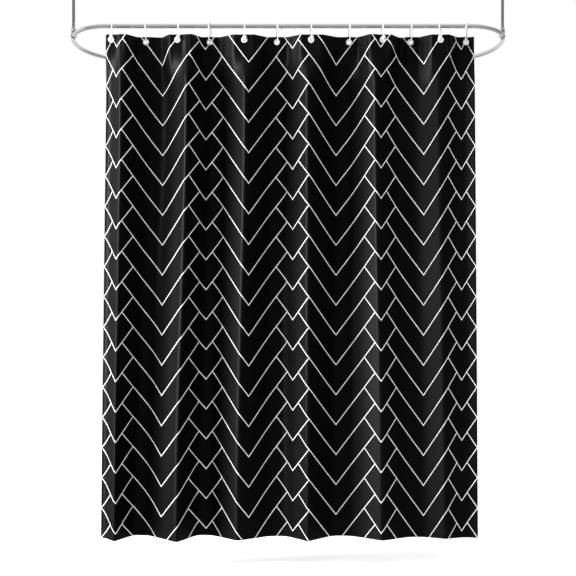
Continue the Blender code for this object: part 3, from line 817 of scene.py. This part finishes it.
def make_cloth():
    grid = cloth_grid()
    front = cloth_material("printed_satin", PRINT_WHITE)
    back = cloth_material("printed_satin_reverse", SHOW_THROUGH, roughness=0.6)
    tape = cloth_material("header_tape", roughness=0.6)
    thread, _ = hard_material("sewing_thread", (0.012, 0.012, 0.012), 0.5, 0.0, 0.2, 400, 0.3)
    sheet = cloth_layer("curtain_sheet_cloth", grid, (0, COLUMNS), (0, ROWS), 0.0, CLOTH_THICKNESS,
                        front, back)
    band_columns = (column_at(BAND_INSET), column_at(FLAT_WIDTH - BAND_INSET))
    band_rows = (row_at(BAND_TOP), row_at(BAND_FOOT))
    band = cloth_layer("header_band_cloth", grid, band_columns, band_rows, BACK_OFFSET, BAND_THICKNESS,
                       tape, tape)
    hem_top = CURTAIN_DROP - HEM_HEIGHT
    hem = cloth_layer("bottom_hem", grid, (0, COLUMNS), (row_at(hem_top), ROWS), BACK_OFFSET,
                      TURNED_THICKNESS, back, back)
    turned_in = (("left", (0, column_at(SIDE_HEM_WIDTH))),
                 ("right", (column_at(FLAT_WIDTH - SIDE_HEM_WIDTH), COLUMNS)))
    side_rows = (row_at(BAND_FOOT), row_at(hem_top))
    sides = [cloth_layer(f"side_hem_{end}", grid, columns, side_rows, BACK_OFFSET, TURNED_THICKNESS,
                         back, back) for end, columns in turned_in]
    for piece in (sheet, band):
        punch_eyelet_holes(piece)
    finish_piece(sheet, "curtain_sheet_cloth", None, "curtain", ["curtain_sheet"])
    finish_piece(band, "header_band_cloth", None, "curtain", ["header_band"])
    for piece in (hem, *sides):
        finish_piece(piece, piece.name, None, "curtain", [])
    for piece in (sheet, band, hem, *sides):
        smooth(piece, 50)
    seam_in = 0.0015
    seam_heights = (0.0045, 0.042, hem_top + seam_in)
    rows = [((0.004, height), (FLAT_WIDTH - 0.004, height)) for height in seam_heights]
    side_seam = SIDE_HEM_WIDTH - seam_in
    rows += [((x, 0.046), (x, hem_top)) for x in (side_seam, FLAT_WIDTH - side_seam)]
    seams = sew("seam_stitches", grid, rows, (CLOTH_THICKNESS / 2, -BACK_OFFSET - 0.0005), thread)
    pieces = [sheet, band, hem, *sides, seams]
    for piece in pieces:
        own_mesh(piece)


# ---- Hooks and eyelets --------------------------------------------------------------------------

HOOK_WIRE_RADIUS = 0.0021
HOOK_REACH = 0.013
HOOK_CROWN_Z = TUBE_RADIUS + 0.0006 + HOOK_WIRE_RADIUS - HOOK_REACH
HOOK_DROP = 0.058
HOOK_FOOT_RADIUS = 0.010
BALL_RADIUS = 0.00725
BALL_REACH = 0.0150
SNAP_GAP = 0.0016
HOOK_LEAN = math.asin(HEADER_EYELET_FOLD / HOOK_DROP)
HOOK_YAW = (8, 6, 10, -12, 9, 12, 10, 12, 9, 8, -12, -14)   # degrees, each as it hangs
HOOK_NAMES_SHOWN = [name + "_wire" for name in HOOK_NAMES]


def push(distance):
    bpy.ops.mesh.extrude_region_move(TRANSFORM_OT_translate={"value": distance})


def bend(centre, degrees, steps):
    """Sweeps the selected end of the wire round an axis along X through a point."""
    bpy.ops.mesh.spin(steps=steps, angle=math.radians(degrees), center=centre, axis=(1, 0, 0))


def make_hook_shape():
    """A wire bent from the snap tip over the rail and down to the foot, with a ball on its end."""
    tip_z = -HOOK_DROP + BALL_RADIUS + SNAP_GAP
    clear_selection()
    bpy.ops.mesh.primitive_circle_add(vertices=20, radius=HOOK_WIRE_RADIUS,
                                      location=(0, -HOOK_REACH, tip_z))
    hook = bpy.context.object
    settle(hook)
    edit(hook)
    bpy.context.tool_settings.mesh_select_mode = (False, True, False)
    bpy.ops.mesh.select_all(action="SELECT")
    push((0, 0, HOOK_CROWN_Z - tip_z))
    bend((0, 0, HOOK_CROWN_Z), 180, 28)
    push((0, 0, -HOOK_DROP + HOOK_FOOT_RADIUS - HOOK_CROWN_Z))
    bend((0, HOOK_REACH - HOOK_FOOT_RADIUS, -HOOK_DROP + HOOK_FOOT_RADIUS), 90, 12)
    push((0, -BALL_REACH - HOOK_REACH + HOOK_FOOT_RADIUS, 0))
    select_open_edges(hook)
    bpy.ops.mesh.fill()
    bpy.ops.mesh.select_all(action="SELECT")
    bpy.ops.mesh.normals_make_consistent(inside=False)
    done()
    soften_edges(hook, 0.0006, 3, 60)
    clear_selection()
    bpy.ops.mesh.primitive_uv_sphere_add(segments=32, ring_count=20, radius=BALL_RADIUS,
                                         location=(0, -BALL_REACH, -HOOK_DROP))
    ball = bpy.context.object
    ball.scale = (1.0, 0.94, 1.0)
    settle(ball)
    cut_away(hook, ball, "UNION")
    smooth(hook, 40)
    return hook


def make_eyelet_shape():
    """A two-flanged ring: a turned blank, slotted round its rim for the cloth, and bored."""
    bore, barrel, outer = 0.0055, 0.0067, 0.011
    slot, face = 0.00135, 0.00225
    ring = cylinder("eyelet", outer, -face, face, 48)
    edit(ring)
    for height in (-slot, slot):
        bpy.ops.mesh.select_all(action="SELECT")
        bpy.ops.mesh.bisect(plane_co=(0, 0, height), plane_no=(0, 0, 1))
    select_faces(ring, lambda at, normal: abs(at.z) < slot and abs(normal.z) < 0.5)
    bpy.ops.mesh.extrude_region_shrink_fatten(TRANSFORM_OT_shrink_fatten={"value": barrel - outer})
    select_faces(ring, lambda at, normal: abs(normal.z) > 0.9 and abs(at.z) > slot + 1e-4)
    bpy.ops.mesh.inset(thickness=outer - bore, depth=0)
    select_faces(ring, lambda at, normal: abs(normal.z) > 0.9 and math.hypot(at.x, at.y) < 1e-4)
    bpy.ops.mesh.delete(type="FACE")
    select_open_edges(ring)
    bpy.ops.mesh.bridge_edge_loops()
    bpy.ops.mesh.select_all(action="SELECT")
    bpy.ops.mesh.normals_make_consistent(inside=False)
    done()
    soften_edges(ring, 0.0003, 3, 40)
    smooth(ring, 40)
    return ring


def hanger_body(i):
    return "curtain" if i == 0 else f"hanger_{i + 1:02d}"


def make_hangers():
    plastic, shader = hard_material("white_hook_plastic", (0.44, 0.44, 0.44), 0.28, 0.0, 0.15, 60, 0.1)
    shader.inputs["Coat Weight"].default_value = 0.2
    eyelet_plastic, _ = hard_material("white_eyelet_plastic", (0.42, 0.42, 0.41), 0.35, 0.0, 0.15, 80, 0.1)
    hook, ring = make_hook_shape(), make_eyelet_shape()
    for i in range(HOOK_COUNT):
        side = -1 if i % 2 == 0 else 1
        lean = Matrix.Rotation(side * HOOK_LEAN, 4, "X")
        yaw = Matrix.Rotation(math.radians(HOOK_YAW[i]), 4, "Z")
        rail_point = Matrix.Translation((EYELETS[i].x, FRONT_Y, RAIL_Z))
        this_hook, this_ring = copy_of(hook, HOOK_NAMES_SHOWN[i]), copy_of(ring, EYELET_NAMES[i] + "_ring")
        settle(this_hook, rail_point @ lean @ yaw)
        settle(this_ring, Matrix.Translation(EYELETS[i]) @ axis_to((0, 1, 0)))
        body = hanger_body(i)
        finish_piece(this_hook, HOOK_NAMES_SHOWN[i], plastic, body, [HOOK_NAMES[i]])
        finish_piece(this_ring, EYELET_NAMES[i] + "_ring", eyelet_plastic, body, [EYELET_NAMES[i]])
    for shape in (hook, ring):
        bpy.data.objects.remove(shape, do_unlink=True)


# ---- Hoop, rods, saddles and flanges --------------------------------------------------------------

ELLIPSE_HANDLE = 0.5523     # handle length for a quarter of an ellipse


def make_hoop_half(end, side, chrome):
    """Half the hoop as a tube along a curve with two quarter ellipses."""
    middle_y = (FRONT_Y + BACK_Y) / 2
    half_depth = (BACK_Y - FRONT_Y) / 2
    rise = HOOP_HALF_LENGTH - STRAIGHT_HALF
    gap = 0.00015
    straight = Vector((side * STRAIGHT_HALF / 3, 0, 0))
    turn_x = Vector((side * rise * ELLIPSE_HANDLE, 0, 0))
    turn_y = Vector((0, half_depth * ELLIPSE_HANDLE, 0))
    points = [
        (Vector((side * gap, FRONT_Y, RAIL_Z)), -straight, straight),
        (Vector((side * STRAIGHT_HALF, FRONT_Y, RAIL_Z)), -straight, turn_x),
        (Vector((side * HOOP_HALF_LENGTH, middle_y, RAIL_Z)), -turn_y, turn_y),
        (Vector((side * STRAIGHT_HALF, BACK_Y, RAIL_Z)), turn_x, -straight),
        (Vector((side * gap, BACK_Y, RAIL_Z)), straight, -straight)]
    clear_selection()
    bpy.ops.curve.primitive_bezier_curve_add()
    tube = bpy.context.object
    tube.data.dimensions = "3D"
    tube.data.resolution_u = 28
    tube.data.bevel_depth = TUBE_RADIUS
    tube.data.bevel_resolution = 10
    spline = tube.data.splines[0]
    spline.bezier_points.add(len(points) - 2)
    for knot, (place, before, after) in zip(spline.bezier_points, points):
        knot.handle_left_type = knot.handle_right_type = "FREE"
        knot.co = place
        knot.handle_left = place + before
        knot.handle_right = place + after
    activate(tube)
    bpy.ops.object.convert(target="MESH")
    edit(tube)
    bpy.ops.mesh.select_all(action="SELECT")
    bpy.ops.mesh.remove_doubles(threshold=0.00001)
    bpy.ops.mesh.normals_make_consistent(inside=False)
    done()
    apply_modifier(tube, "SOLIDIFY", thickness=TUBE_WALL, offset=-1.0)
    smooth(tube, 40)
    finish_piece(tube, f"hoop_tube_{end}_polished", chrome, "rail", [f"hoop_tube_{end}"])


def make_rod(end, chrome):
    """A thin tube, hollowed at both ends."""
    low, high = (Vector(corner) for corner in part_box(f"support_rod_{end}"))
    middle = (low + high) / 2
    rod = cylinder("rod", 0.006, low.z, high.z)
    edit(rod)
    select_faces(rod, lambda at, normal: abs(normal.z) > 0.9)
    bpy.ops.mesh.inset(thickness=0.001, depth=0)
    bpy.ops.mesh.inset(thickness=0.0001, depth=-0.020)
    done()
    soften_edges(rod, 0.0002, 2, 50)
    smooth(rod)
    settle(rod, Matrix.Translation((middle.x, middle.y, 0)))
    finish_piece(rod, f"support_rod_{end}_polished", chrome, "rail", [f"support_rod_{end}"])
    return middle


SADDLE_BORE = TUBE_RADIUS + 0.0010
SADDLE_OUTER = SADDLE_BORE + 0.0022
SADDLE_HALF = 0.014
SOCKET_RADIUS = 0.0063
SOCKET_OUTER = SOCKET_RADIUS + 0.0024
ROD_FOOT = SADDLE_BORE + 0.003
SOCKET_TOP = ROD_FOOT + 0.018


def make_saddle(end, side, place, chrome):
    """A tee fitting: collar and neck joined, then bored for the hoop and the rod."""
    middle_y = (FRONT_Y + BACK_Y) / 2
    half_depth = (BACK_Y - FRONT_Y) / 2
    angle = math.asin((place.y - middle_y) / half_depth)
    rise = HOOP_HALF_LENGTH - STRAIGHT_HALF
    along = axis_to((-side * rise * math.sin(angle), half_depth * math.cos(angle), 0))
    saddle = cylinder("saddle", SADDLE_OUTER, -SADDLE_HALF, SADDLE_HALF)
    soften_edges(saddle, 0.0008, 3, 50)
    settle(saddle, along)
    neck = cylinder("neck", SOCKET_OUTER, 0, SOCKET_TOP)
    soften_edges(neck, 0.0008, 3, 50)
    cut_away(saddle, neck, "UNION")
    bore = cylinder("bore", SADDLE_BORE, -2 * SADDLE_HALF, 2 * SADDLE_HALF)
    settle(bore, along)
    cut_away(saddle, bore)
    cut_away(saddle, cylinder("socket", SOCKET_RADIUS, ROD_FOOT, SOCKET_TOP + 0.01))
    for spot, direction in (((0, 0, (SADDLE_OUTER + SOCKET_TOP) / 2), (0, -1, 0)), ((0, 0, 0), (0, 0, -1))):
        drill = cylinder("drill", 0.0023, 0.0075, 0.02, 24)
        settle(drill, Matrix.Translation(spot) @ axis_to(direction))
        cut_away(saddle, drill)
    settle(saddle, Matrix.Translation((place.x, place.y, RAIL_Z)))
    smooth(saddle, 30)
    finish_piece(saddle, f"saddle_{end}_polished", chrome, "rail", [f"saddle_{end}"])


FLANGE_RADIUS = 0.028
FLANGE_THICKNESS = 0.004
BOSS_RADIUS = SOCKET_RADIUS + 0.004
BOSS_HEIGHT = 0.018
SCREW_CIRCLE_RADIUS = 0.020
SCREW_ANGLES = [2 * math.pi * i / 3 + math.pi / 2 for i in range(3)]


def make_flange(end, place, chrome):
    """A plate drawn out into a boss and bored for the rod, with countersunk holes."""
    flange = cylinder("flange", FLANGE_RADIUS, -FLANGE_THICKNESS, 0, 96)
    edit(flange)
    select_faces(flange, lambda at, normal: normal.z < -0.9)
    bpy.ops.mesh.inset(thickness=FLANGE_RADIUS - BOSS_RADIUS - 0.002, depth=0)
    bpy.ops.mesh.inset(thickness=0.002, depth=0.0008)
    push((0, 0, -BOSS_HEIGHT + 0.0008))
    bpy.ops.mesh.inset(thickness=BOSS_RADIUS - SOCKET_RADIUS, depth=0)
    push((0, 0, BOSS_HEIGHT + FLANGE_THICKNESS - 0.0015))
    done()
    for angle in SCREW_ANGLES:
        spot = Vector((SCREW_CIRCLE_RADIUS * math.cos(angle), SCREW_CIRCLE_RADIUS * math.sin(angle), 0))
        clear_selection()
        bpy.ops.mesh.primitive_cone_add(vertices=32, radius1=0.0023, radius2=0.0042, depth=0.0024)
        sink = bpy.context.object
        settle(sink, Matrix.Translation(spot + Vector((0, 0, -0.0030))) @ axis_to((0, 0, -1)))
        hole = cylinder("hole", 0.0023, -0.01, 0.01, 32)
        settle(hole, Matrix.Translation(spot))
        cut_away(flange, sink)
        cut_away(flange, hole)
    drill = cylinder("drill", 0.0023, 0.0055, 0.02, 24)
    settle(drill, Matrix.Translation((0, 0, -FLANGE_THICKNESS - BOSS_HEIGHT / 2)) @ axis_to((0, -1, 0)))
    cut_away(flange, drill)
    soften_edges(flange, 0.0005, 2, 45)
    settle(flange, Matrix.Translation((place.x, place.y, 0)))
    smooth(flange, 30)
    finish_piece(flange, f"ceiling_flange_{end}_polished", chrome, "rail", [f"ceiling_flange_{end}"])


def cross_recess(screw, width, depth, face):
    """Two crossed slots cut into a screw's face."""
    for length, breadth in ((width, width / 4), (width / 4, width)):
        clear_selection()
        bpy.ops.mesh.primitive_cube_add(size=1)
        slot = bpy.context.object
        slot.scale = (length, breadth, 2 * depth)
        settle(slot)
        settle(slot, Matrix.Translation((0, 0, face)))
        cut_away(screw, slot)


HEAD_GAP = 0.0003           # under a screw's head
SET_HEAD_TOP = 0.0025


def make_screw_shape(shank, head, tip, seat, crown, countersunk):
    """A screw along +Z from its tip to the crown of its head."""
    screw = cylinder("screw", shank, tip, seat, 24)
    edit(screw)
    select_faces(screw, lambda at, normal: normal.z > 0.9)
    if countersunk:
        push((0, 0, crown - seat))
        grow = head / shank
        bpy.ops.transform.resize(value=(grow, grow, 1), orient_type="GLOBAL", center_override=(0, 0, crown))
    else:
        bpy.ops.mesh.extrude_region()
        grow = head / shank
        bpy.ops.transform.resize(value=(grow, grow, 1), orient_type="GLOBAL", center_override=(0, 0, seat))
        push((0, 0, crown - seat))
    done()
    soften_edges(screw, (crown - seat) / 5, 2, 50)
    cross_recess(screw, head * 1.1, (crown - seat) * 0.4, crown)
    smooth(screw, 35)
    return screw


def make_screws(rods):
    steel, _ = hard_material("screw_steel", (0.55, 0.56, 0.58), 0.3, 1.0, 0.2, 90, 0.15)
    wood = make_screw_shape(0.0020, 0.0039, 0.0003, 0.0020, 0.0037, True)
    for end, _ in ENDS:
        for i, angle in enumerate(SCREW_ANGLES):
            spot = Vector((rods[end].x + SCREW_CIRCLE_RADIUS * math.cos(angle),
                           rods[end].y + SCREW_CIRCLE_RADIUS * math.sin(angle), 0))
            place_screw(wood, f"ceiling_screw_{end}_{i + 1}", spot, (0, 0, -1), steel)
    def set_screw(tip, surface):
        return make_screw_shape(0.0020, 0.0032, tip, surface + HEAD_GAP, surface + SET_HEAD_TOP, False)

    rod_screw = set_screw(0.0063, SOCKET_OUTER)
    hoop_screw = set_screw(0.0083, SADDLE_OUTER)
    flange_screw = set_screw(0.0063, BOSS_RADIUS)
    for end, _ in ENDS:
        foot = Vector((rods[end].x, rods[end].y, RAIL_Z))
        neck = foot + Vector((0, 0, (SADDLE_OUTER + SOCKET_TOP) / 2))
        boss = Vector((foot.x, foot.y, -FLANGE_THICKNESS - BOSS_HEIGHT / 2))
        place_screw(rod_screw, f"rod_set_screw_{end}", neck, (0, -1, 0), steel)
        place_screw(hoop_screw, f"hoop_set_screw_{end}", foot, (0, 0, -1), steel)
        place_screw(flange_screw, f"flange_set_screw_{end}", boss, (0, -1, 0), steel)
    joint = make_screw_shape(0.0015, 0.0028, 0.0040, TUBE_RADIUS + HEAD_GAP, TUBE_RADIUS + 0.0019, False)
    for y, label in ((FRONT_Y, "front"), (BACK_Y, "back")):
        for end, _ in ENDS:
            node = f"hoop_screw_{label}_{end}"
            place_screw(joint, node, Vector((box_middle(node).x, y, RAIL_Z)), (0, 0, -1), steel)
    for shape in (wood, rod_screw, hoop_screw, flange_screw, joint):
        bpy.data.objects.remove(shape, do_unlink=True)
    for joint_name in ("front", "back"):
        ferrule = frame["nodes"][f"hoop_ferrule_{joint_name}"]
        ferrule.data.materials.clear()
        ferrule.data.materials.append(steel)


def place_screw(shape, node, spot, direction, steel):
    screw = copy_of(shape, node + "_turned")
    settle(screw, Matrix.Translation(spot) @ axis_to(direction))
    finish_piece(screw, node + "_turned", steel, "rail", [node])


def make_rail():
    chrome, _ = hard_material("polished_chrome", (0.86, 0.87, 0.89), 0.07, 1.0, 0.06, 25, 0.04)
    rods = {}
    for end, side in ENDS:
        make_hoop_half(end, side, chrome)
        rods[end] = make_rod(end, chrome)
        make_saddle(end, side, rods[end], chrome)
        make_flange(end, rods[end], chrome)
    make_screws(rods)


def keep_key_off_chrome():
    """The key light falls on everything but the polished rail, as if flagged off it."""
    lit = bpy.data.collections.new("lit_by_key")
    for piece in bpy.data.objects:
        polished = [slot.material for slot in piece.material_slots if slot.material]
        if piece.type == "MESH" and not any(m.name == "polished_chrome" for m in polished):
            lit.objects.link(piece)
    bpy.data.objects["key_from_left"].light_linking.receiver_collection = lit


# ---- Assembly -----------------------------------------------------------------------------------

make_camera()
make_world()
make_lights()
make_floor()
make_rail()
make_hangers()
make_cloth()
keep_key_off_chrome()
